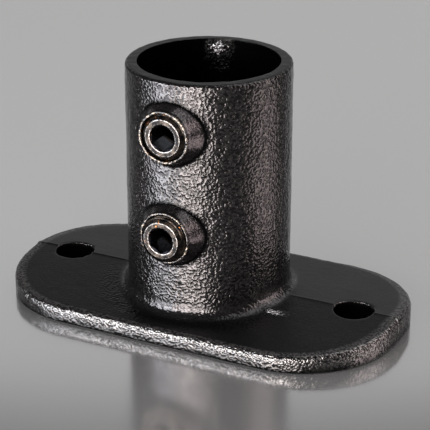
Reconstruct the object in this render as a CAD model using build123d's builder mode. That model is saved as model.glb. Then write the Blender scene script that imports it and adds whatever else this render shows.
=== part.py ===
from build123d import *
from math import radians, sqrt, tan
import os

# Railing base flange: one iron casting and its two set screws, in millimetres.
# The origin is on the underside, on the axis of the tube socket.
# X runs along the plate, Z up the socket, and the set screws face -Y.

# Tube socket
tube_diameter = 48.3
socket_clearance = 1.5
socket_wall = 4.35
socket_height = 92.2
socket_base_fillet = 4.5
rim_outer_round = 2.0
rim_inner_bevel = 0.6
bore_foot_bevel = 1.0

# Base plate, a shallow roof whose ridge is the parting line of the mould
plate_beyond_holes = 17.15
plate_beyond_socket = 11.6
plate_end_bow = 7.5
plate_corner_radius = 35.0
plate_ridge_height = 9.1
plate_side_height = 6.0
plate_top_bevel = 1.3

# Fixing holes, one at each end of the plate
fixing_hole_diameter = 14.0
fixing_hole_spacing = 114.0

# Bosses for the set screws, one above the other on the front of the socket
boss_reach = 4.85
boss_lip_width = 0.99
boss_draft = 20.0
boss_root_fillet = 1.5
boss_lip_bevel = 0.35
lower_boss_height = 37.7
upper_boss_below_rim = 18.0

# Set screws: a hexagon socket right through, a bevelled face and a ring point
screw_diameter = 16.66
screw_length = 9.5
thread_clearance = 0.08
screw_face_bevel_width = 1.78
screw_face_bevel_depth = 1.3
screw_tip_bevel = 1.1
key_size = 8.0
key_mouth_relief = 0.33
key_mouth_half_angle = 60.0

# How far each screw stands out of its boss
lower_screw_proud = 2.35
upper_screw_proud = 0.3

# Sizes that follow from the ones above
bore_radius = (tube_diameter + socket_clearance) / 2
socket_radius = bore_radius + socket_wall
plate_length = fixing_hole_spacing + 2 * plate_beyond_holes
plate_width = 2 * (socket_radius + plate_beyond_socket)
corner_x = plate_length / 2 - plate_end_bow
hole_places = [(-fixing_hole_spacing / 2, 0), (fixing_hole_spacing / 2, 0)]
screw_radius = screw_diameter / 2
tapped_radius = screw_radius + thread_clearance
boss_face_distance = socket_radius + boss_reach
boss_face_radius = tapped_radius + boss_lip_width
boss_depth = boss_face_distance - bore_radius
boss_base_radius = boss_face_radius + boss_depth * tan(radians(boss_draft))
upper_boss_height = socket_height - upper_boss_below_rim
boss_heights = [lower_boss_height, upper_boss_height]
boss_planes = [Plane(origin=(0, -boss_face_distance, height), z_dir=(0, -1, 0)) for height in boss_heights]
screw_face_radius = screw_radius - screw_face_bevel_width
key_mouth_radius = key_size / sqrt(3) + key_mouth_relief


with BuildPart() as flange_casting:
    # Plate outline: straight long sides, bowed ends and large rounded corners
    with BuildSketch() as plate_outline:
        with BuildLine():
            front = Line((-corner_x, -plate_width / 2), (corner_x, -plate_width / 2))
            right_end = ThreePointArc(front @ 1, (plate_length / 2, 0), (corner_x, plate_width / 2))
            back = Line(right_end @ 1, (-corner_x, plate_width / 2))
            ThreePointArc(back @ 1, (-plate_length / 2, 0), front @ 0)
        make_face()
        fillet(plate_outline.vertices(), plate_corner_radius)
    extrude(amount=plate_ridge_height)

    # The roof section trims the outline
    with BuildSketch(Plane.YZ):
        with BuildLine():
            Polyline(
                (-plate_width / 2, 0),
                (plate_width / 2, 0),
                (plate_width / 2, plate_side_height),
                (0, plate_ridge_height),
                (-plate_width / 2, plate_side_height),
                close=True,
            )
        make_face()
    extrude(amount=plate_length, both=True, mode=Mode.INTERSECT)

    # The socket stands on the plate, and the mould parts through its axis
    with BuildSketch():
        Circle(socket_radius)
    extrude(amount=socket_height)
    split(bisect_by=Plane.XZ, keep=Keep.TOP)

    # Front half: the plate's top edge is bevelled and the socket blends into the roof
    parting_face = flange_casting.faces().sort_by(Axis.Y)[-1]
    socket_wall_face = flange_casting.faces().filter_by(GeomType.CYLINDER).sort_by(Axis.Z)[-1]
    facing_up = flange_casting.faces().filter_by(lambda face: face.normal_at().Z > abs(face.normal_at().Y))
    roof = facing_up.sort_by(SortBy.AREA)[-1]
    chamfer(roof.edges() - parting_face.edges() - socket_wall_face.edges(), plate_top_bevel)
    socket_wall_face = flange_casting.faces().filter_by(GeomType.CYLINDER).sort_by(Axis.Z)[-1]
    fillet(socket_wall_face.edges().sort_by(Axis.Z)[0], socket_base_fillet)

    # The back half mirrors the front, and the fixing holes stand on the parting line
    add(flange_casting.part.mirror(Plane.XZ))
    with Locations(*hole_places):
        Hole(fixing_hole_diameter / 2)

    # Bosses are drafted cones that blend into the socket
    with Locations(*boss_planes):
        Cone(boss_base_radius, boss_face_radius, boss_depth, align=(Align.CENTER, Align.CENTER, Align.MAX))
    boss_cones = flange_casting.faces().filter_by(GeomType.CONE)
    fillet(boss_cones.edges().filter_by(GeomType.BSPLINE), boss_root_fillet)
    boss_cones = flange_casting.faces().filter_by(GeomType.CONE)
    chamfer(boss_cones.edges().filter_by(GeomType.CIRCLE), boss_lip_bevel)

    # Bore for the tube, and the tapped holes that open into it
    Hole(bore_radius)
    with Locations(*boss_planes):
        Hole(tapped_radius, depth=boss_face_distance)
    underside = flange_casting.faces().sort_by(Axis.Z)[0]
    chamfer(underside.inner_wires().sort_by(SortBy.LENGTH)[-1].edges(), bore_foot_bevel)
    rim = flange_casting.faces().sort_by(Axis.Z)[-1]
    fillet(rim.edges().sort_by(SortBy.LENGTH)[-1], rim_outer_round)
    rim = flange_casting.faces().sort_by(Axis.Z)[-1]
    chamfer(rim.edges().sort_by(SortBy.LENGTH)[0], rim_inner_bevel)


def make_set_screw(boss_height, proud):
    """A set screw on the boss axis, its face standing proud of the boss."""
    face_y = -(boss_face_distance + proud)
    tip_y = face_y + screw_length
    mouth_depth = key_mouth_radius / tan(radians(key_mouth_half_angle))
    screw_axis = Axis((0, 0, boss_height), (0, 1, 0))
    with BuildPart() as screw:
        # Half section: bevelled face, shank at the crests of its thread, and bevelled point
        with BuildSketch(Plane.YZ):
            with BuildLine():
                Polyline(
                    (face_y, boss_height),
                    (face_y, boss_height + screw_face_radius),
                    (face_y + screw_face_bevel_depth, boss_height + screw_radius),
                    (tip_y - screw_tip_bevel, boss_height + screw_radius),
                    (tip_y, boss_height + screw_radius - screw_tip_bevel),
                    (tip_y, boss_height),
                    close=True,
                )
            make_face()
        revolve(axis=screw_axis)
        # Hexagon for the key, one corner down, with a countersunk mouth
        with BuildSketch(Plane.XZ.offset(-tip_y)):
            with Locations((0, boss_height)):
                RegularPolygon(key_size / 2, 6, major_radius=False, rotation=90)
        extrude(amount=screw_length, mode=Mode.SUBTRACT)
        with BuildSketch(Plane.YZ):
            with BuildLine():
                Polyline(
                    (face_y, boss_height),
                    (face_y, boss_height + key_mouth_radius),
                    (face_y + mouth_depth, boss_height),
                    close=True,
                )
            make_face()
        revolve(axis=screw_axis, mode=Mode.SUBTRACT)
    return screw


lower_set_screw = make_set_screw(lower_boss_height, lower_screw_proud)
upper_set_screw = make_set_screw(upper_boss_height, upper_screw_proud)

flange_casting.part.label = "flange_casting"
lower_set_screw.part.label = "lower_set_screw"
upper_set_screw.part.label = "upper_set_screw"

os.makedirs("parts", exist_ok=True)
export_step(flange_casting.part, "parts/flange_casting.step")
export_step(lower_set_screw.part, "parts/lower_set_screw.step")
export_step(upper_set_screw.part, "parts/upper_set_screw.step")
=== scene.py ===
import math

import bmesh
import bpy
import numpy as np
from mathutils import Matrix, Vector


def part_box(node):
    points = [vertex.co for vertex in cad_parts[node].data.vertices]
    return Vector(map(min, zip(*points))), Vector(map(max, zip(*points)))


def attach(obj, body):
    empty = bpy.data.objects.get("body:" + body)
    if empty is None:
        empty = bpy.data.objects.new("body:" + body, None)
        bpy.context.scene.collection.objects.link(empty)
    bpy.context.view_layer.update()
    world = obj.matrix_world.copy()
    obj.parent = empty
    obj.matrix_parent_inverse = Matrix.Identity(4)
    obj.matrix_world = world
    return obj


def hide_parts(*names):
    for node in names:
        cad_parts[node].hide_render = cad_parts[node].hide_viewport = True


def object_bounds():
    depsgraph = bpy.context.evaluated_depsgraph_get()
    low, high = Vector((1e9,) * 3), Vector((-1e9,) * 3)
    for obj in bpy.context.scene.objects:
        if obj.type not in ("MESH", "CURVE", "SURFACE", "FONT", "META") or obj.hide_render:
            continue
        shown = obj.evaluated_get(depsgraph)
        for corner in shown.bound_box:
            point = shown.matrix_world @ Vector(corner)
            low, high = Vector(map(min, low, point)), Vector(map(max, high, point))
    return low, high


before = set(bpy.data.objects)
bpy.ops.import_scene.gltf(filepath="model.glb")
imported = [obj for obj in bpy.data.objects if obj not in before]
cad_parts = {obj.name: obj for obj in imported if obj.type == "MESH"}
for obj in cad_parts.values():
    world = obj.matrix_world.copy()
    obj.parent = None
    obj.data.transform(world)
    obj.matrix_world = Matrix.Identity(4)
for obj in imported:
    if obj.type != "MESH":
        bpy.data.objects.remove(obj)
cad_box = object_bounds()

# Railing base flange: one iron casting and its two set screws.
# Shapes are worked out in millimetres and put into the meshes in metres.
MM = 0.001


def corners(box):
    """A box's lowest and highest corner in millimetres, rounded to a hundredth."""
    return [[round(value / MM, 2) for value in corner] for corner in box]


# Outside sizes, each screw's body and each screw's corners, as the frame has them
HALF_LENGTH, HALF_WIDTH, HEIGHT = corners(cad_box)[1]
SCREW_BODIES = {"lower_set_screw": "lower_screw", "upper_set_screw": "upper_screw"}
SCREW_CORNERS = {node: corners(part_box(node)) for node in SCREW_BODIES}

# Tube socket
BORE_RADIUS = 24.9
WALL_RADIUS = 29.25
BASE_FILLET = 4.5
RIM_ROUND = 1.3
BORE_MOUTH_ROUND = 0.25
BORE_FOOT_BEVEL = 1.0

# Base plate, a shallow roof with bowed ends
END_BOW = 7.5
CORNER_RADIUS = 35.0
RIDGE_HEIGHT = 9.1
SIDE_HEIGHT = 6.0
TOP_ROUND = 2.0
FOOT_ROUND = 0.6

# Fixing holes, whose dressed edge is wider in places
HOLE_RADIUS = 7.0
HOLE_X = 57.0
HOLE_ROUND = 0.6
HOLE_ROUND_EXTRA = 0.5
HOLE_FOOT_BEVEL = 0.4

# Bosses: the face's distance from the socket's axis, a short neck, and a cone that blends into the wall
BOSS_FACE = 34.1
BOSS_RADIUS = 9.4
BOSS_NECK = 1.2
BOSS_SPREAD = math.tan(math.radians(25.0))
BOSS_ROOT = 1.5
ROOT_PULL = 0.6
TAPPED_RADIUS = 8.41
TAPPED_MOUTH = 0.6
TAPPED_CREST = 0.5
GROOVE_DEPTH = 0.42
RUN_OUT = 1 / 8

# A boss's worn lip: radius, depth behind the face, and share of the wear
LIP_PROFILE = (
    (BOSS_RADIUS - 0.02, 0.70, 0.3),
    (BOSS_RADIUS, 0.34, 0.7),
    (BOSS_RADIUS - 0.06, 0.16, 0.9),
    (BOSS_RADIUS - 0.20, 0.04, 1.0),
    (BOSS_RADIUS - 0.40, 0.0, 1.0),
    (BOSS_RADIUS - 0.60, 0.0, 1.0),
    (TAPPED_RADIUS + 0.22, 0.06, 0.9),
    (TAPPED_RADIUS + 0.08, 0.22, 0.6),
    (TAPPED_RADIUS + 0.02, 0.45, 0.2),
)
LIP_SPREAD = 0.10
LIP_LOSS = 0.06
FACE_LOSS = 0.08
BITE_DEPTH = 0.30
BITE_START = 0.35

# Set screws
PITCH = 1.337
SCREW_RADIUS = 8.33
THREAD_DEPTH = 0.8
FACE_RADIUS = 6.55
FACE_BEVEL = 1.3
TIP_BEVEL = 1.1
KEY_HALF_WIDTH = 4.0
MOUTH_RADIUS = 4.95
MOUTH_SLOPE = math.tan(math.radians(60))
KEY_EDGE = 0.05
POINT_INSET = 0.2
BOSS_HEIGHTS = [high[2] - SCREW_RADIUS for low, high in SCREW_CORNERS.values()]

# Where the rows of a screw's thread, hexagon and mouth begin and end, behind its face or short of its point
THREAD_FROM_FACE = 0.10
THREAD_FROM_POINT = 0.02
KEY_FROM_FACE = 0.65
KEY_FROM_POINT = 0.6
MOUTH_DEEPEST = 0.58
MOUTH_SHALLOWEST = 0.06

# A screw's face from its mouth to its bevel: radius, depth, and how far it is rubbed bright
FACE_PROFILE = (
    (MOUTH_RADIUS, 0.05, 1.0),
    (MOUTH_RADIUS + 0.07, 0.0, 1.0),
    (MOUTH_RADIUS + 0.20, 0.0, 0.55),
    (MOUTH_RADIUS + 0.45, 0.0, 0.2),
    (MOUTH_RADIUS + 0.80, 0.0, 0.1),
    (FACE_RADIUS - 0.45, 0.0, 0.2),
    (FACE_RADIUS - 0.22, 0.0, 0.6),
    (FACE_RADIUS - 0.08, 0.0, 1.0),
    (FACE_RADIUS - 0.01, 0.04, 1.0),
)

# Heights between which all of the plate's top lies
ROOF_LOW = 4.0
ROOF_HIGH = 12.0

# How dark each ring of a boss's root is painted, as painted shade in the crease, ring by ring
ROOT_SHADE = (0.4, 0.9, 1.0, 0.8, 0.4)

# Relief of the sand-cast skin
LUMP_HEIGHT = 0.055
SWELL_HEIGHT = 0.06
SIDE_LUMP_HEIGHT = 0.07
BEAD_HEIGHT = 0.20
BEAD_WIDTH = 0.42

# A crazed patch of coat in the bore and a drip at the foot of the socket: bumps there, and painted glints of
# bright flecks
RUN_GLINT_PLACE, RUN_GLINT_SIZE = (-8.3, 23.4, 88.6), (3.4, 3.4, 2.6)
DRIP_GLINT_PLACE, DRIP_GLINT_SIZE = (32.3, -13.5, 8.2), (3.8, 1.7, 1.7)
DRIP_GLINT_STRENGTH = 1.1

# Painted shade on the plate in front of the socket, round its foot
APRON_SHADE_RADIUS = 35.0
APRON_SHADE_WIDTH = 5.0

# Rows and columns of the meshes
UNDER_ROWS = 30
FOOT_ROWS = 3
SIDE_ROWS = 6
EDGE_ROWS = 5
ROOF_ROWS = 26
FILLET_ROWS = 8
WALL_ROWS = 98
RIM_ROWS = 6
ANNULUS_ROWS = 4
BORE_MOUTH_ROWS = 4
BORE_FOOT_ROWS = 8
COLUMNS = 268
SCREW_COLUMNS = 144
THREAD_ROWS = 88
KEY_ROWS = 14
MOUTH_ROWS = 12

# More columns beside the parting line, in degrees from it
PARTING_COLUMNS = (-0.8, -0.35, 0.35, 0.8)

# Rings of a boss and of a fixing hole
BOSS_WALL_RINGS = 5
BOSS_ROOT_RINGS = 5
BOSS_CONE_RINGS = 5
BOSS_HOLE_RINGS = 36
BOSS_BORE_RINGS = 5
HOLE_ROOF_RINGS = 5
HOLE_EDGE_RINGS = 4
HOLE_WALL_RINGS = 7
HOLE_BASE_RINGS = 3

# Blocks of the casting's grid that the bosses and the fixing holes take, from their middles
BOSS_BLOCK = 14.7
BOSS_BLOCK_TURN = math.radians(32.5)
HOLE_BLOCK = 10.6
HOLE_BLOCK_UNDER = 11.0
HOLE_BLOCK_COLUMNS = 11


# Shapes

def steps(count):
    """A column of even shares, from just above 0 to 1."""
    return (np.arange(1, count + 1) / count)[:, None]


def quarter(count):
    """A quarter turn in even steps: 1 less its cosine, and its sine. Both go from 0 to 1."""
    turn = steps(count) * np.pi / 2
    return 1 - np.cos(turn), np.sin(turn)


def between(first, last, share):
    """The value at a share of the way from first to last."""
    return first * (1 - share) + last * share


def ramp(value, start, end):
    """0 up to start, 1 from end on, and even between. The end may be lower than the start."""
    return np.clip((value - start) / (end - start), 0, 1)


def bell(points, place, size):
    """A bell curve round a place, as wide each way as the size says."""
    return np.exp(-(((points - place) / size) ** 2).sum(axis=-1))


def nearest(values, value):
    """Index of the value that is nearest."""
    return int(np.argmin(np.abs(values - value)))


def stacked(x, y, z):
    """Points from three coordinates, spread over their common rows and columns."""
    return np.stack(np.broadcast_arrays(x, y, z), axis=-1)


def waves(points, shortest, longest, count, seed):
    """Even random relief, about -1 to 1: a sum of plane waves, with wavelengths between the two given."""
    draw = np.random.default_rng(seed)
    direction = draw.normal(size=(count, 3))
    direction /= np.linalg.norm(direction, axis=1, keepdims=True)
    length = draw.uniform(shortest, longest, count)
    phase = draw.uniform(0, 2 * np.pi, count)
    turns = points @ (direction * (2 * np.pi / length)[:, None]).T
    return np.cos(turns + phase).sum(axis=-1) * math.sqrt(2 / count) / 2


def roof(y):
    """Height of the plate's top: it falls evenly from the ridge over y = 0 to the two long sides."""
    return RIDGE_HEIGHT - (RIDGE_HEIGHT - SIDE_HEIGHT) / HALF_WIDTH * np.abs(y)


def plate_outline(angle):
    """Point and outward normal of the plate's outline where a ray at this angle meets it. The outline is a
    straight side, a corner arc and a wide end arc, the same in all four quarters."""
    cos, sin = np.abs(np.cos(angle)), np.abs(np.sin(angle))
    end_radius = (HALF_WIDTH ** 2 + END_BOW ** 2) / (2 * END_BOW)
    end_centre = HALF_LENGTH - end_radius
    corner_y = HALF_WIDTH - CORNER_RADIUS
    corner_x = end_centre + math.sqrt((end_radius - CORNER_RADIUS) ** 2 - corner_y ** 2)

    side = HALF_WIDTH / np.maximum(sin, 1e-9)
    along = corner_x * cos + corner_y * sin
    beyond = np.maximum(along ** 2 - corner_x ** 2 - corner_y ** 2 + CORNER_RADIUS ** 2, 0)
    corner = along + np.sqrt(beyond)
    along = end_centre * cos
    end = along + np.sqrt(along ** 2 - end_centre ** 2 + end_radius ** 2)

    on_side = side * cos <= corner_x
    turn = math.atan2(corner_y, corner_x - end_centre)
    meeting = math.atan2(end_radius * math.sin(turn), end_centre + end_radius * math.cos(turn))
    on_end = np.arctan2(sin, cos) <= meeting
    reach = np.where(on_side, side, np.where(on_end, end, corner))
    x, y = reach * cos, reach * sin
    normal_x = np.where(on_side, 0, np.where(on_end, x - end_centre, x - corner_x))
    normal_y = np.where(on_side, 1, np.where(on_end, y, y - corner_y))
    size = np.hypot(normal_x, normal_y)
    right, far = np.sign(np.cos(angle)), np.sign(np.sin(angle))
    return x * right, y * far, normal_x / size * right, normal_y / size * far


def column_angles():
    """Angles of the columns: even steps from the front, with closer ones beside the parting line."""
    even = np.arange(COLUMNS) * 2 * np.pi / COLUMNS - np.pi / 2
    close = np.radians(PARTING_COLUMNS)
    return np.sort(np.concatenate([even, close, close + np.pi]))


def casting_grid(angle):
    """The casting without its holes and bosses: one closed profile carried round the socket's axis. From
    the bore's foot it runs out under the plate, up its side, in over the roof, up the wall, over the rim
    and down the bore. Straight runs are shared out evenly between their ends, and rounds are quarter
    circles. Returns the grid, and the row at which each run begins."""
    cos, sin = np.cos(angle), np.sin(angle)
    outline_x, outline_y, normal_x, normal_y = plate_outline(angle)
    runs, parts = {}, []

    def add(name, x, y, z):
        runs[name] = sum(len(part) for part in parts)
        parts.append(stacked(x, y, z))

    def inside(inset):
        return outline_x - inset * normal_x, outline_y - inset * normal_y

    share = np.linspace(0, 1, UNDER_ROWS + 1)[:, None]
    foot = BORE_RADIUS + BORE_FOOT_BEVEL
    x, y = inside(FOOT_ROUND)
    add("under", between(foot * cos, x, share), between(foot * sin, y, share), 0)
    slow, fast = quarter(FOOT_ROWS)
    add("foot", *inside(FOOT_ROUND * (1 - fast)), FOOT_ROUND * slow)
    roof_x, roof_y = inside(TOP_ROUND)
    shoulder = roof(roof_y) - TOP_ROUND
    add("side", outline_x, outline_y, between(FOOT_ROUND, shoulder, steps(SIDE_ROWS)))
    slow, fast = quarter(EDGE_ROWS)
    add("edge", *inside(TOP_ROUND * slow), shoulder + TOP_ROUND * fast)

    share = steps(ROOF_ROWS)
    start = WALL_RADIUS + BASE_FILLET
    y = between(roof_y, start * sin, share)
    add("roof", between(roof_x, start * cos, share), y, roof(y))
    slow, fast = quarter(FILLET_ROWS)
    radius = start - BASE_FILLET * fast
    root = roof(start * sin)
    add("fillet", radius * cos, radius * sin, root + BASE_FILLET * slow)
    wall_foot = root + BASE_FILLET
    wall_z = between(wall_foot, HEIGHT - RIM_ROUND, steps(WALL_ROWS))
    add("wall", WALL_RADIUS * cos, WALL_RADIUS * sin, wall_z)

    slow, fast = quarter(RIM_ROWS)
    radius = WALL_RADIUS - RIM_ROUND * slow
    add("rim", radius * cos, radius * sin, HEIGHT - RIM_ROUND * (1 - fast))
    radius = between(WALL_RADIUS - RIM_ROUND, BORE_RADIUS + BORE_MOUTH_ROUND, steps(ANNULUS_ROWS))
    add("annulus", radius * cos, radius * sin, HEIGHT)
    slow, fast = quarter(BORE_MOUTH_ROWS)
    radius = BORE_RADIUS + BORE_MOUTH_ROUND * (1 - fast)
    add("mouth", radius * cos, radius * sin, HEIGHT - BORE_MOUTH_ROUND * slow)
    add("bore", BORE_RADIUS * cos, BORE_RADIUS * sin, wall_z[::-1])
    foot_z = between(wall_foot, BORE_FOOT_BEVEL, steps(BORE_FOOT_ROWS))
    add("bore_foot", BORE_RADIUS * cos, BORE_RADIUS * sin, foot_z)
    return np.concatenate(parts), runs


class Skin:
    """Points and faces of one closed surface, put together from a grid and the tunnels through it."""

    def __init__(self, grid):
        self.rows, self.columns = grid.shape[:2]
        self.points = [grid.reshape(-1, 3)]
        self.count = self.rows * self.columns
        self.open = np.zeros((self.rows, self.columns), bool)
        self.faces = []

    def number(self, row, column):
        """A grid point's number. The grid closes on itself both ways."""
        return (row % self.rows) * self.columns + column % self.columns

    def block(self, first_row, last_row, first_column, last_column):
        """Opens a block of the grid. Returns the loop of points round it, from its first row's middle."""
        rows = np.arange(first_row, last_row)
        columns = np.arange(first_column, last_column)
        self.open[np.ix_(rows % self.rows, columns % self.columns)] = True
        middle = (first_column + last_column) // 2
        return np.concatenate([
            self.number(first_row, np.arange(middle, last_column)),
            self.number(rows, last_column),
            self.number(last_row, columns[::-1] + 1),
            self.number(rows[::-1] + 1, first_column),
            self.number(first_row, np.arange(first_column, middle)),
        ])

    def tunnel(self, first, last, rings):
        """Carries loop first through rings of points, given by name, to loop last, with faces between
        neighbouring rings. Returns the numbers of the rings' points, by the same names."""
        points = np.concatenate(list(rings.values()))
        numbers = self.count + np.arange(points[..., 0].size).reshape(points.shape[:2])
        self.points.append(points.reshape(-1, 3))
        self.count += numbers.size
        loops = np.concatenate([first[None], numbers, last[None]])
        turned = np.roll(loops, -1, axis=1)
        faces = np.stack([loops[:-1], turned[:-1], turned[1:], loops[1:]], axis=-1)
        self.faces.append(faces.reshape(-1, 4))
        ends = np.cumsum([len(ring) for ring in rings.values()])
        return dict(zip(rings, np.split(numbers, ends[:-1])))

    def arrays(self):
        """All points, and all faces turned so that the volume they close in is positive."""
        number = np.arange(self.rows * self.columns).reshape(self.rows, self.columns)
        down, right = np.roll(number, -1, axis=0), np.roll(number, -1, axis=1)
        both = np.roll(down, -1, axis=1)
        body = np.stack([number, right, both, down], axis=-1)[~self.open]
        points, faces = np.concatenate(self.points), np.concatenate([body, *self.faces])
        first, second, third, fourth = points[faces].transpose(1, 0, 2)
        volume = np.einsum("ij,ij->", first, np.cross(second - first, third - first))
        volume += np.einsum("ij,ij->", first, np.cross(third - first, fourth - first))
        return points, faces if volume > 0 else faces[:, ::-1]


def opposite(loop):
    """The loop in the other sense, begun across from its start, to face one whose rows run the other way."""
    return np.roll(loop[::-1], 1 + len(loop) // 2)


def cone_reach(turn):
    """Radius at which the boss's cone meets the socket wall, for each angle round the boss: the equations
    of cone and wall are put into each other until they settle."""
    rounds = 40
    radius = np.full_like(turn, BOSS_RADIUS)
    for _ in range(rounds):
        depth = BOSS_FACE - BOSS_NECK - np.sqrt(WALL_RADIUS ** 2 - (radius * np.cos(turn)) ** 2)
        radius = BOSS_RADIUS + depth * BOSS_SPREAD
    return radius


def wall_point(radius, arc, height):
    """Point of an upright cylinder, from the arc along it, measured from the front."""
    angle = arc / radius
    return stacked(radius * np.sin(angle), -radius * np.cos(angle), height)


def boss_root(outer, centre):
    """The rings from the loop outside a boss to its cone: the wall, shared out evenly, and the root fillet,
    a quadratic curve that touches wall and cone. Returns each column's angle round the boss, the radius and
    the y at which its cone begins, and the two sets of rings."""
    arc = WALL_RADIUS * np.arctan2(outer[:, 0], -outer[:, 1])
    rise = outer[:, 2] - centre
    turn = np.arctan2(rise, arc)
    cos, sin = np.cos(turn), np.sin(turn)
    reach = cone_reach(turn)
    reach_arc, reach_rise = WALL_RADIUS * np.arcsin(reach * cos / WALL_RADIUS), reach * sin
    spread = 1 + BOSS_ROOT / np.hypot(reach_arc, reach_rise)
    share = steps(BOSS_WALL_RINGS)
    wall_arc = between(arc, reach_arc * spread, share)
    wall_rise = between(rise, reach_rise * spread, share)
    wall = wall_point(WALL_RADIUS, wall_arc, centre + wall_rise)

    corner = wall_point(WALL_RADIUS, reach_arc, centre + reach_rise)
    cone_radius = reach - BOSS_ROOT * ROOT_PULL * math.sin(math.atan(BOSS_SPREAD))
    cone_y = -(BOSS_FACE - BOSS_NECK - (cone_radius - BOSS_RADIUS) / BOSS_SPREAD)
    shoulder = stacked(cone_radius * cos, cone_y, centre + cone_radius * sin)
    share = steps(BOSS_ROOT_RINGS)[..., None]
    root = wall[-1] * (1 - share) ** 2 + corner * 2 * share * (1 - share) + shoulder * share ** 2
    return turn, cone_radius, cone_y, wall, root


def boss_lip(turn, centre):
    """Rings of a boss's lip, which is worn and chewed: waves make its radius and its face wander."""
    cos, sin = np.cos(turn), np.sin(turn)
    around = stacked(BOSS_RADIUS * cos, 0, centre + BOSS_RADIUS * sin)
    wander = waves(around, 2.2, 7.0, count=40, seed=5)
    bite = np.clip(-BITE_START - waves(around, 1.1, 2.2, count=40, seed=6), 0, 1)
    radius, depth, share = np.array(LIP_PROFILE).T[..., None]
    radius = radius + share * (LIP_SPREAD * wander - LIP_LOSS)
    depth = depth + share * (FACE_LOSS * (1 - wander) + BITE_DEPTH * bite)
    return stacked(radius * cos, -(BOSS_FACE - depth), centre + radius * sin)


def tapped_hole(turn, centre):
    """Rings of a tapped hole. Its thread is a wave whose phase follows the angle, cut outwards from the
    hole so that the screw can travel, and run out at both ends."""
    cos, sin = np.cos(turn), np.sin(turn)
    share = np.linspace(0, 1, BOSS_HOLE_RINGS)[:, None]
    y = between(BOSS_FACE - TAPPED_MOUTH, np.sqrt(BORE_RADIUS ** 2 - (TAPPED_RADIUS * cos) ** 2), share)
    groove = 0.5 - 0.5 * np.cos(2 * np.pi * (y / PITCH - turn / (2 * np.pi)))
    radius = TAPPED_RADIUS + GROOVE_DEPTH * groove * ramp(share, 0, RUN_OUT) * ramp(share, 1, 1 - RUN_OUT)
    return stacked(radius * cos, -y, centre + radius * sin)


def boss_rings(outer, inner, centre):
    """Rings of a boss, from the loop round it on the wall to the loop round its hole in the bore. Every ring
    is a function of the angle round the boss and its place along the way: the cone is shared out evenly, and
    the rings in the bore stand closer towards the hole."""
    turn, cone_radius, cone_y, wall, root = boss_root(outer, centre)
    cos, sin = np.cos(turn), np.sin(turn)
    share = steps(BOSS_CONE_RINGS)
    radius = between(cone_radius, BOSS_RADIUS, share)
    cone = stacked(radius * cos, between(cone_y, BOSS_NECK - BOSS_FACE, share), centre + radius * sin)

    inner_arc = BORE_RADIUS * np.arctan2(inner[:, 0], -inner[:, 1])
    inner_rise = inner[:, 2] - centre
    edge = TAPPED_RADIUS + TAPPED_CREST
    edge_arc = BORE_RADIUS * np.arcsin(edge * cos / BORE_RADIUS)
    share = np.linspace(0, 1, BOSS_BORE_RINGS, endpoint=False)[:, None] ** 1.4
    bore_rise = between(edge * sin, inner_rise, share)
    bore = wall_point(BORE_RADIUS, between(edge_arc, inner_arc, share), centre + bore_rise)
    return {
        "wall": wall, "root": root, "cone": cone, "lip": boss_lip(turn, centre),
        "hole": tapped_hole(turn, centre), "bore": bore,
    }


def fixing_hole_rings(top, under, centre):
    """Rings of a fixing hole, from the loop round it on the roof to the loop under the plate: roof, rounded
    edge, wall of the hole and underside. Each is a circle, or a share of the way from one to a loop."""
    top_turn = np.arctan2(top[:, 1], top[:, 0] - centre)
    under_turn = np.arctan2(under[:, 1], under[:, 0] - centre)
    under_turn = top_turn + np.angle(np.exp(1j * (under_turn - top_turn)))

    def ring(radius, turn):
        return centre + radius * np.cos(turn), radius * np.sin(turn)

    # The edge is dressed by hand, so its round is wider in places
    around = stacked(*ring(HOLE_RADIUS, top_turn), 0)
    dressed = np.clip(waves(around, 1.5, 6.0, count=40, seed=7), 0, 1)
    edge_round = HOLE_ROUND + HOLE_ROUND_EXTRA * dressed
    x, y = ring(HOLE_RADIUS + edge_round, top_turn)
    share = steps(HOLE_ROOF_RINGS) ** 0.8
    x, y = between(top[:, 0], x, share), between(top[:, 1], y, share)
    roof_part = stacked(x, y, roof(y))
    slow, fast = quarter(HOLE_EDGE_RINGS)
    x, y = ring(HOLE_RADIUS + edge_round * (1 - fast), top_turn)
    edge = stacked(x, y, roof(y) - edge_round * slow)

    share = steps(HOLE_WALL_RINGS)
    x, y = ring(HOLE_RADIUS, between(top_turn, under_turn, share))
    wall = stacked(x, y, between(edge[-1, :, 2], HOLE_FOOT_BEVEL, share))
    x, y = ring(HOLE_RADIUS + HOLE_FOOT_BEVEL, under_turn)
    share = np.linspace(0, 1, HOLE_BASE_RINGS, endpoint=False)[:, None]
    base = stacked(between(x, under[:, 0], share), between(y, under[:, 1], share), 0)
    return {"roof": roof_part, "edge": edge, "wall": wall, "base": base}


def open_bosses(skin, grid, runs, angle):
    """Opens the wall and the bore for each boss and joins them through it. Returns each boss's rings."""
    points = grid.reshape(-1, 3)
    front = nearest(angle, -np.pi / 2)
    half = nearest(angle, BOSS_BLOCK_TURN - np.pi / 2) - front
    wall, bore_end = runs["wall"], runs["bore"] + WALL_ROWS - 1
    wall_z = grid[wall:wall + WALL_ROWS, front, 2]
    bosses = []
    for centre in BOSS_HEIGHTS:
        low, high = nearest(wall_z, centre - BOSS_BLOCK), nearest(wall_z, centre + BOSS_BLOCK)
        outer = skin.block(wall + low, wall + high, front - half, front + half)
        inner = opposite(skin.block(bore_end - high, bore_end - low, front - half, front + half))
        bosses.append(skin.tunnel(outer, inner, boss_rings(points[outer], points[inner], centre)))
    return bosses


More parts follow.
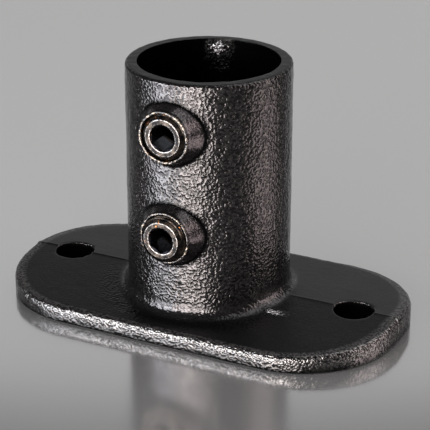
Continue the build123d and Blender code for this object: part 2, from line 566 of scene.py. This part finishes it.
def open_fixing_holes(skin, grid, runs, angle):
    """Opens the roof and the underside for each fixing hole and joins them. Returns each hole's rings."""
    points = grid.reshape(-1, 3)
    holes = []
    for centre, side in ((-HOLE_X, np.pi), (HOLE_X, 0.0)):
        middle = nearest(angle, side)
        first, last = middle - HOLE_BLOCK_COLUMNS, middle + HOLE_BLOCK_COLUMNS
        roof_x = np.abs(grid[runs["roof"]:runs["fillet"], middle, 0])
        low, high = nearest(roof_x, HOLE_X + HOLE_BLOCK), nearest(roof_x, HOLE_X - HOLE_BLOCK)
        top = skin.block(runs["roof"] + low, runs["roof"] + high, first, last)
        under_x = np.abs(grid[runs["under"]:runs["foot"], middle, 0])
        near = runs["under"] + nearest(under_x, HOLE_X - HOLE_BLOCK_UNDER)
        under = opposite(skin.block(near, near + high - low, first, last))
        holes.append(skin.tunnel(top, under, fixing_hole_rings(points[top], points[under], centre)))
    return holes


def point_normals(points, faces):
    """Unit normal at each point: the sum of the diagonals' cross products of the faces round it."""
    first, second, third, fourth = points[faces].transpose(1, 0, 2)
    normal = np.cross(third - first, fourth - second)
    total = np.zeros_like(points)
    for corner in range(4):
        np.add.at(total, faces[:, corner], normal)
    size = np.linalg.norm(total, axis=1, keepdims=True)
    return total / np.maximum(size, 1e-12)


def casting_masks(points, runs, columns, bosses, holes):
    """How far each finish shows at each point of the casting, from 0 to 1, and the grain, which says how far
    the sand-cast skin shows. Some masks carry painted light: painted shade in the boss roots, along the
    plate's foot, in front of the socket and inside the holes, a painted highlight on the plate's side, and
    painted glints."""
    x, y, z = points.T
    radial = np.hypot(x, y)
    bare, neck, painted_shade, sleek, brim_and_highlight = np.zeros((5, len(points)))
    grain = np.ones(len(points))
    # Inside the bore, the tapped holes and the fixing holes: painted shade, and calmer wrinkles
    inner = np.where((radial < BORE_RADIUS + 0.1) & (z < HEIGHT - 0.1), 1.0, 0.0)

    # The base fillet is sleeker; the plate's side has finer wrinkles, a painted highlight on their crests
    # that fades towards its foot, and painted shade along the foot
    sleek[runs["fillet"] * columns:(runs["wall"] + 1) * columns] = 0.4
    side = slice(runs["foot"] * columns, (runs["roof"] + 1) * columns)
    # Painted shade along the plate's foot, darkest at the floor
    painted_shade[side] = 0.95 * ramp(z[side], 3.4, 0.8)
    # The plate's side: finer wrinkles there, and a painted highlight on their crests, fading towards the
    # foot
    brim_and_highlight[side] = np.maximum(ramp(z[side], 0.6, 4.4), 0.04)

    # Bosses: bare metal on the lip, a smoother cone, and painted shade in the root
    for boss in bosses:
        lip, hole, cone, root = boss["lip"], boss["hole"], boss["cone"], boss["root"]
        fade = np.linspace(0, 1, len(root))[:, None]
        bare[lip[1:]] = 1
        inner[hole] = 1
        grain[lip] = 0
        grain[hole] = 0
        grain[cone] = 0.6
        grain[root] = 1 - 0.4 * fade
        neck[cone] = 1
        neck[lip[0]] = 1
        neck[root] = fade
        painted_shade[root] = np.array(ROOT_SHADE)[:, None]
        painted_shade[boss["wall"][-1]] = 0.1
    for hole in holes:
        inner[hole["wall"]] = 1
        inner[hole["edge"][-1]] = 0.7

    run_and_glint = bell(points, RUN_GLINT_PLACE, RUN_GLINT_SIZE) * (radial < BORE_RADIUS + 0.1)
    run_and_glint = run_and_glint + DRIP_GLINT_STRENGTH * bell(points, DRIP_GLINT_PLACE, DRIP_GLINT_SIZE)
    # Painted shade on the plate round the front of the socket's foot
    apron_shade = bell(radial[:, None], APRON_SHADE_RADIUS, APRON_SHADE_WIDTH) * ramp(y, 0, -15)
    apron_shade = apron_shade * (z > ROOF_LOW) * (z < ROOF_HIGH)
    masks = {
        "bare": bare, "inner": inner, "neck": neck, "painted_shade": painted_shade, "sleek": sleek, "run_and_glint": run_and_glint, "brim_and_highlight": brim_and_highlight,
        "apron_shade": apron_shade,
    }
    return masks, grain


def casting_relief(points, normal, grain, brim_and_highlight):
    """How far the sand-cast skin stands out of the true shape, in millimetres: lumps and longer swells made
    of waves, smaller lumps on the plate's side, and a bell-shaped bead along the parting line. Where the
    surface bounds the part or fits a tube, the waves only sink, so the sizes hold."""
    x, y, z = points.T
    radial = np.hypot(x, y)
    top = ramp(normal[:, 2], 0.7, 0.98) * (z < ROOF_HIGH)
    plate = ramp(radial, WALL_RADIUS + 0.3, WALL_RADIUS + 3.8)
    sink = np.maximum(plate, ramp(z, HEIGHT - 5.0, HEIGHT - 1.5))
    sink = np.where(radial < BORE_RADIUS + 0.5, 1.0, sink)
    lumps = waves(points, 2.6, 5.0, count=110, seed=11) - sink
    swell = waves(points, 9.0, 22.0, count=60, seed=12) - sink
    side_lumps = waves(points, 1.8, 4.0, count=80, seed=13) - 0.6
    height = (LUMP_HEIGHT * lumps + SWELL_HEIGHT * swell) * (1 - 0.65 * top)
    height = grain * (height + SIDE_LUMP_HEIGHT * brim_and_highlight * side_lumps)
    bead = bell(y[:, None], 0, BEAD_WIDTH) * ramp(z, 0.8, 3.3) * (radial > BORE_RADIUS + 2)
    return height + BEAD_HEIGHT * bead * np.maximum(ramp(radial, WALL_RADIUS + 3, WALL_RADIUS + 7), 0.25)


def mesh_piece(name, points, faces, masks, sharp):
    """A mesh object in metres with faces turned outwards and smooth shading up to the angle given, in
    degrees. Each mask becomes an attribute of its points."""
    used = np.unique(faces)
    lookup = np.full(len(points), -1)
    lookup[used] = np.arange(len(used))
    mesh = bpy.data.meshes.new(name)
    mesh.from_pydata((points[used] * MM).tolist(), [], lookup[faces].tolist())
    work = bmesh.new()
    work.from_mesh(mesh)
    bmesh.ops.recalc_face_normals(work, faces=work.faces)
    work.to_mesh(mesh)
    work.free()
    mesh.polygons.foreach_set("use_smooth", np.ones(len(mesh.polygons), bool))
    mesh.set_sharp_from_angle(angle=math.radians(sharp))
    for mask, values in masks.items():
        layer = mesh.attributes.new(mask, "FLOAT", "POINT")
        layer.data.foreach_set("value", values[used].astype(np.float32))
    piece = bpy.data.objects.new(name, mesh)
    bpy.context.scene.collection.objects.link(piece)
    return piece


def make_casting():
    """The casting: the carried profile, opened for two bosses and two fixing holes, then moved along its
    normals by the relief of a sand casting. It stays in the box of its true shape, and flat underneath."""
    angle = column_angles()
    grid, runs = casting_grid(angle)
    skin = Skin(grid)
    bosses = open_bosses(skin, grid, runs, angle)
    holes = open_fixing_holes(skin, grid, runs, angle)
    points, faces = skin.arrays()
    masks, grain = casting_masks(points, runs, len(angle), bosses, holes)
    under = points[:, 2] < 0.05
    normal = point_normals(points, faces)
    shift = normal * casting_relief(points, normal, grain * ~under, masks["brim_and_highlight"])[:, None]
    shift[under, 2] = 0
    moved = np.clip(points + shift, points.min(axis=0), points.max(axis=0))
    return mesh_piece("casting_skin", moved, faces, masks, sharp=40.0)


def make_screw(node):
    """A set screw: one closed profile carried round its axis. It runs out over the face, down the bevel and
    the thread, a wave whose phase follows the angle, in over the point and back up the hexagon to its
    countersunk mouth, which is the wider of hexagon and cone."""
    low, high = SCREW_CORNERS[node]
    centre, length = high[2] - SCREW_RADIUS, high[1] - low[1]
    turn = np.arange(SCREW_COLUMNS) * 2 * np.pi / SCREW_COLUMNS + np.pi / 6
    hexagon = KEY_HALF_WIDTH / np.cos((turn + np.pi / 6) % (np.pi / 3) - np.pi / 6)
    parts = []

    def add(radius, depth):
        parts.append(stacked(radius * np.cos(turn), low[1] + depth, centre + radius * np.sin(turn)))

    face_radius, face_depth, face_wear = np.array(FACE_PROFILE).T[..., None]
    add(face_radius, face_depth)
    depth = np.linspace(THREAD_FROM_FACE, length - THREAD_FROM_POINT, THREAD_ROWS)[:, None]
    crest = 0.5 + 0.5 * np.cos(2 * np.pi * (depth / PITCH - turn / (2 * np.pi)))
    thread = SCREW_RADIUS - THREAD_DEPTH * (1 - crest) ** 1.2
    bevel = FACE_RADIUS + (SCREW_RADIUS - FACE_RADIUS) / FACE_BEVEL * depth
    tip = SCREW_RADIUS - TIP_BEVEL + length - depth
    add(np.minimum(thread, np.minimum(bevel, tip)), depth)
    ring_point = SCREW_RADIUS - TIP_BEVEL - THREAD_DEPTH - POINT_INSET
    for radius in (ring_point, (hexagon + ring_point) / 2, hexagon + KEY_EDGE):
        add(np.atleast_2d(radius), length)
    add(np.atleast_2d(hexagon), length - KEY_EDGE)
    add(hexagon, np.linspace(length - KEY_FROM_POINT, KEY_FROM_FACE, KEY_ROWS)[:, None])
    depth = np.linspace(MOUTH_DEEPEST, MOUTH_SHALLOWEST, MOUTH_ROWS)[:, None]
    add(np.maximum(hexagon, MOUTH_RADIUS - depth * MOUTH_SLOPE), depth)

    # Rubbed edges of face and mouth, the dark mouth, and the walls of the hexagon behind it
    grid = np.concatenate(parts)
    worn, key, mouth = np.zeros((3, *grid.shape[:2]))
    mouth_row = len(grid) - MOUTH_ROWS
    key_row = mouth_row - KEY_ROWS
    worn[:len(face_wear)] = face_wear
    worn[len(face_wear)] = 0.35
    worn[-2:] = [[0.3], [0.8]]
    key[key_row + 2:mouth_row + 4] = 1
    mouth[mouth_row:-2] = 1
    masks = {"worn": worn.ravel(), "key": key.ravel(), "mouth": mouth.ravel()}
    return mesh_piece(node + "_threaded", *Skin(grid).arrays(), masks, sharp=50.0)


# Materials

# Grains to the metre of the coat's patterns, how far the wrinkles are curled, and their depth in metres
WRINKLES = 1120.0
SIDE_WRINKLES = 1400.0
SPECKS = 1700.0
CHIPS = 900.0
SCRATCHES = 1400.0
PATCHES = 60.0
CURLS = 500.0
CURL_REACH = 0.0008
COAT_BUMP = 0.00030

# Grains to the metre of the steel's marks, and their depth in metres
STAINS = 420.0
FINE_MARKS = 1300.0
RUST_SPOTS = 640.0
STEEL_BUMP = 0.00008

# Sockets of the Mix node that blends colours
MIX_SHARE, MIX_FIRST, MIX_SECOND, MIX_RESULT = 0, 6, 7, 2


class Wire:
    """A socket of a finish. Working with it in Python adds the Math nodes."""

    def __init__(self, finish, socket):
        self.finish, self.socket = finish, socket

    def math(self, operation, first, second):
        """Adds a Math node that does one operation."""
        return self.finish.node("ShaderNodeMath", {"operation": operation}, [first, second])

    def __add__(self, other):
        return self.math("ADD", self, other)

    def __radd__(self, other):
        return self.math("ADD", other, self)

    def __sub__(self, other):
        return self.math("SUBTRACT", self, other)

    def __rsub__(self, other):
        return self.math("SUBTRACT", other, self)

    def __mul__(self, other):
        return self.math("MULTIPLY", self, other)

    def __rmul__(self, other):
        return self.math("MULTIPLY", other, self)

    def above(self, start, end):
        """0 below start, 1 above end, and smooth between."""
        settings = {"interpolation_type": "SMOOTHSTEP"}
        return self.finish.node("ShaderNodeMapRange", settings, [self, start, end, 0.0, 1.0])


class Finish:
    """A material, its nodes added by type, settings and inputs."""

    def __init__(self, name):
        self.material = bpy.data.materials.new(name)
        self.material.use_nodes = True
        self.tree = self.material.node_tree
        self.tree.nodes.clear()

    def node(self, kind, settings=None, inputs=(), output=0):
        """Adds a node: its settings first, then its inputs, in order or by key, each a value or a wire."""
        made = self.tree.nodes.new(kind)
        for key, value in (settings or {}).items():
            setattr(made, key, value)
        for key, value in inputs.items() if isinstance(inputs, dict) else enumerate(inputs):
            if isinstance(value, Wire):
                self.tree.links.new(value.socket, made.inputs[key])
            else:
                made.inputs[key].default_value = value
        return Wire(self, made.outputs[output]) if made.outputs else made

    def vector(self, operation, first, second):
        """Adds a Vector Math node."""
        return self.node("ShaderNodeVectorMath", {"operation": operation}, [first, second])

    def attribute(self, name):
        """A mask of the piece, read as a number."""
        return self.node("ShaderNodeAttribute", {"attribute_name": name}, output="Fac")

    def noise(self, where, grains, detail, rough):
        """A noise with so many grains to the metre."""
        inputs = {"Vector": where, "Scale": grains, "Detail": detail, "Roughness": rough}
        return self.node("ShaderNodeTexNoise", {}, inputs)

    def bend(self, where, grains, reach):
        """Coordinates pushed about by a noise, to curl the pattern that reads them."""
        inputs = {"Vector": where, "Scale": grains, "Detail": 1.0}
        push = self.node("ShaderNodeTexNoise", {}, inputs, "Color")
        push = self.vector("SUBTRACT", push, (0.5, 0.5, 0.5))
        push = self.vector("MULTIPLY", push, (reach, reach, reach))
        return self.vector("ADD", where, push)

    def mix(self, share, first, second):
        """A colour between two."""
        inputs = {MIX_SHARE: share, MIX_FIRST: first, MIX_SECOND: second}
        return self.node("ShaderNodeMix", {"data_type": "RGBA"}, inputs, MIX_RESULT)

    def bump(self, height, distance, strength):
        """A normal tilted by the slope of a height. A height of 1 stands this many metres out."""
        inputs = {"Height": height, "Distance": distance, "Strength": strength}
        return self.node("ShaderNodeBump", {}, inputs)

    def surface(self, **inputs):
        """Ends the material with its shader. An input's name has _ for a space."""
        inputs = {name.replace("_", " "): value for name, value in inputs.items()}
        shader = self.node("ShaderNodeBsdfPrincipled", {}, inputs)
        self.node("ShaderNodeOutputMaterial", {}, {"Surface": shader})
        return self.material


def tone(red, green, blue):
    """An opaque colour."""
    return red, green, blue, 1


def wrinkled_black():
    """Glossy black wrinkled coat, chipped to bright metal along the lips of the bosses, with painted shade
    in its wrinkle valleys, roots and holes and in front of the socket, and painted highlights and glints.
    """
    finish = Finish("wrinkled_black_coat")
    here = finish.node("ShaderNodeTexCoord", output="Object")
    masks = ("bare", "inner", "neck", "painted_shade", "sleek", "run_and_glint", "brim_and_highlight", "apron_shade")
    bare, inner, neck, painted_shade, sleek, run_and_glint, brim_and_highlight, apron_shade = (finish.attribute(name) for name in masks)
    facing = finish.node("ShaderNodeNewGeometry", output="Normal")
    upward = finish.node("ShaderNodeSeparateXYZ", {}, [facing], "Z")
    level = upward.above(0.85, 0.97) * (1.0 - apron_shade * 0.55)

    # Patterns: the wrinkles, finer on the plate's side, then specks, chips, scratches and broad patches
    bent = finish.bend(here, CURLS, CURL_REACH)
    side_wrinkle = finish.noise(bent, SIDE_WRINKLES, 0.5, 0.4)
    wrinkle = finish.noise(bent, WRINKLES, 0.5, 0.4) * (1.0 - brim_and_highlight) + side_wrinkle * brim_and_highlight
    speck = finish.noise(here, SPECKS, 1.0, 0.5)
    chip = finish.noise(here, CHIPS, 2.0, 0.6)
    scratch = finish.noise(here, SCRATCHES, 2.0, 0.6)
    patch = finish.noise(here, PATCHES, 3.0, 0.6)
    # Wrinkle crests, which the colours paint lighter and their valleys darker, as painted shade
    crest = wrinkle.above(0.3, 0.7)
    chipped = bare * chip.above(0.46, 0.64)

    # Bump: wrinkles where the coat isn't calm, fine specks, and crazing under the painted glints in the bore
    # and on the drip
    wild = (1.0 - level * 0.85) * (1.0 - neck * 0.85) * (1.0 - inner * 0.7) * (1.0 - bare) * (1.0 - sleek)
    fine = speck * (0.03 + neck * 0.24) * (1.0 - level) * (1.0 - inner)
    coarse = wrinkle.above(0.22, 0.78) * (0.47 + brim_and_highlight * 0.10) * wild
    crazed = (speck.above(0.3, 0.7) + chip.above(0.3, 0.7)) * 1.5 * run_and_glint
    normal = finish.bump(fine + coarse + crazed, COAT_BUMP, 1.0)

    # Colours from the open wall to the bore, with painted shade in the wrinkle valleys, the boss roots,
    # along the plate's foot, in front of the socket and inside the holes, then a painted highlight on the
    # plate's side and painted glints in the bore and on the drip
    # Painted shade: wrinkle valleys darker and crests lighter, for shade that the bump doesn't cast
    coat = finish.mix(crest, tone(0.038, 0.036, 0.036), tone(0.113, 0.107, 0.107))
    coat = finish.mix(sleek, coat, tone(0.085, 0.081, 0.082))
    boss = finish.mix(speck.above(0.35, 0.65), tone(0.050, 0.046, 0.047), tone(0.135, 0.122, 0.125))
    coat = finish.mix(neck, coat, boss)
    # Painted shade, near black, in the boss roots and along the plate's foot
    coat = finish.mix(painted_shade, coat, tone(0.008, 0.008, 0.008))
    plate = finish.mix(speck.above(0.3, 0.7), tone(0.029, 0.029, 0.031), tone(0.045, 0.045, 0.047))
    coat = finish.mix(level, coat, plate)
    # Painted shade on the plate in front of the socket
    coat = finish.mix(apron_shade * 0.6, coat, tone(0.006, 0.006, 0.006))
    # Painted shade inside the bore and the holes
    coat = finish.mix(inner, coat, tone(0.008, 0.008, 0.008))
    # Painted highlight on the wrinkle crests of the plate's side, brightest at its top
    coat = finish.mix(brim_and_highlight * crest, coat, tone(0.225, 0.216, 0.212))
    # Painted glints: bright flecks in the bore and on the drip
    glint_fleck = run_and_glint * 1.6 - 0.9 + (chip - 0.5) * 3.0 + (speck - 0.5) * 2.0
    coat = finish.mix(glint_fleck.above(0.0, 0.3) * run_and_glint.above(0.04, 0.2), coat, tone(0.64, 0.62, 0.63))
    metal = finish.mix(scratch.above(0.35, 0.65), tone(0.055, 0.047, 0.039), tone(0.50, 0.42, 0.34))

    coat_rough = 0.14 + patch * 0.08 + level * 0.22
    metal_rough = 0.28 + scratch * 0.25
    return finish.surface(
        Base_Color=finish.mix(chipped, coat, metal),
        Roughness=coat_rough * (1.0 - chipped) + metal_rough * chipped,
        Metallic=0.92 + chipped * 0.08,
        Normal=normal,
    )


def blackened_steel():
    """Blackened steel of the set screws, a little rusty, and rubbed bright along the edges of the face."""
    finish = Finish("blackened_steel")
    here = finish.node("ShaderNodeTexCoord", output="Object")
    worn, key, mouth = (finish.attribute(name) for name in ("worn", "key", "mouth"))
    stain = finish.noise(here, STAINS, 3.0, 0.6)
    fine = finish.noise(here, FINE_MARKS, 3.0, 0.6)
    rust = finish.noise(here, RUST_SPOTS, 2.0, 0.5).above(0.655, 0.715)
    dark = finish.mix(stain.above(0.4, 0.65), tone(0.016, 0.015, 0.015), tone(0.084, 0.066, 0.053))
    dark = finish.mix(key, dark, tone(0.110, 0.116, 0.132))
    dark = finish.mix(mouth, dark, tone(0.012, 0.012, 0.015))
    dark = finish.mix(rust * (1.0 - key), dark, tone(0.38, 0.155, 0.060))
    bright = finish.mix(fine.above(0.3, 0.7), tone(0.07, 0.064, 0.059), tone(0.45, 0.42, 0.40))
    rubbed = (worn + (fine - 0.5) * 0.9).above(0.4, 1.1)
    return finish.surface(
        Base_Color=finish.mix(rubbed * (1.0 - mouth), dark, bright),
        Roughness=0.2 + fine * 0.2,
        Metallic=1.0,
        Normal=finish.bump(fine, STEEL_BUMP, 0.8),
    )


def pale_floor():
    """Pale satin floor, which mirrors the lamps and the plate faintly."""
    finish = Finish("pale_floor")
    return finish.surface(Base_Color=tone(0.85, 0.85, 0.85), Roughness=0.15, IOR=1.8, Metallic=0.8)


# The object

casting = make_casting()
casting.data.materials.append(wrinkled_black())
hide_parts("flange_casting")
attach(casting, "flange")

steel = blackened_steel()
for node, body in SCREW_BODIES.items():
    screw = make_screw(node)
    screw.data.materials.append(steel)
    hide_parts(node)
    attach(screw, body)


# Floor, lights and camera, in metres

FLOOR_FRONT = -3
FLOOR_BACK = 2
FLOOR_HALF_WIDTH = 4
BACKDROP_BEND = 1.2
FLOOR_GAP = 0.0002

# Each softbox: place, width and height, power in watts and colour. All look at one point
LAMPS_AIM = (0, 0, 0.045)
LAMPS = {
    "front_left": ((-0.66, -0.85, 0.29), (0.80, 0.46), 8.6, (0.90, 0.94, 1.0)),
    "front": ((0.02, -1.08, 0.29), (0.90, 0.46), 12.4, (1.0, 0.94, 0.91)),
    "right": ((1.19, 0.43, 0.55), (0.86, 0.95), 4.8, (1.0, 0.86, 0.85)),
    "top": ((0.50, 0.45, 1.2), (1.5, 1.3), 5, (1, 1, 1)),
    "back": ((-1.05, 2.1, 0.72), (3.8, 1.15), 4.4, (1, 1, 1)),
}
WORLD_STRENGTH = 0.06

CAMERA_PLACE = (0.2554, -0.4963, 0.2687)
CAMERA_AIM = (-0.00365, 0.01169, 0.02869)
CAMERA_LENS = 141.2
CAMERA_SENSOR = 36


def make_floor():
    """A wide floor that curves up behind into a backdrop: level lines along X, first evenly towards the
    back, then round a quarter circle that rises there."""
    share = np.linspace(0, 1, 60)[:, None]
    turn = (share - 0.5) * np.pi
    level = share < 0.5
    flat_y = between(FLOOR_FRONT, FLOOR_BACK, 2 * share)
    y = np.where(level, flat_y, FLOOR_BACK + BACKDROP_BEND * np.sin(turn))
    z = np.where(level, 0, BACKDROP_BEND * (1 - np.cos(turn)))
    grid = stacked(np.linspace(-FLOOR_HALF_WIDTH, FLOOR_HALF_WIDTH, 3), y, z - FLOOR_GAP)
    rows, columns = grid.shape[:2]
    number = np.arange(rows * columns).reshape(rows, columns)
    faces = np.stack([number[:-1, :-1], number[:-1, 1:], number[1:, 1:], number[1:, :-1]], axis=-1)
    mesh = bpy.data.meshes.new("floor")
    mesh.from_pydata(grid.reshape(-1, 3).tolist(), [], faces.reshape(-1, 4).tolist())
    mesh.polygons.foreach_set("use_smooth", np.ones(len(mesh.polygons), bool))
    floor = bpy.data.objects.new("floor", mesh)
    bpy.context.scene.collection.objects.link(floor)
    floor.data.materials.append(pale_floor())


def stand(name, data, place, aim):
    """Puts a lamp or a camera at a place, looking at the aim with its top upwards."""
    thing = bpy.data.objects.new(name, data)
    thing.location = place
    thing.rotation_euler = (Vector(aim) - Vector(place)).to_track_quat("-Z", "Y").to_euler()
    bpy.context.scene.collection.objects.link(thing)
    return thing


def softbox(name, place, size, power, colour):
    """An oval lamp of this width and height."""
    light = bpy.data.lights.new(name, "AREA")
    light.shape = "ELLIPSE"
    light.size, light.size_y = size
    light.energy = power
    light.color = colour
    stand(name, light, place, LAMPS_AIM)


make_floor()
for name, settings in LAMPS.items():
    softbox(name, *settings)

world = bpy.data.worlds.new("studio")
world.use_nodes = True
background = world.node_tree.nodes["Background"]
background.inputs["Color"].default_value = (1, 1, 1, 1)
background.inputs["Strength"].default_value = WORLD_STRENGTH

scene = bpy.context.scene
scene.world = world
lens = bpy.data.cameras.new("camera")
lens.sensor_width = CAMERA_SENSOR
lens.lens = CAMERA_LENS
scene.camera = stand("camera", lens, CAMERA_PLACE, CAMERA_AIM)
scene.view_settings.view_transform = "Standard"

bpy.context.view_layer.update()
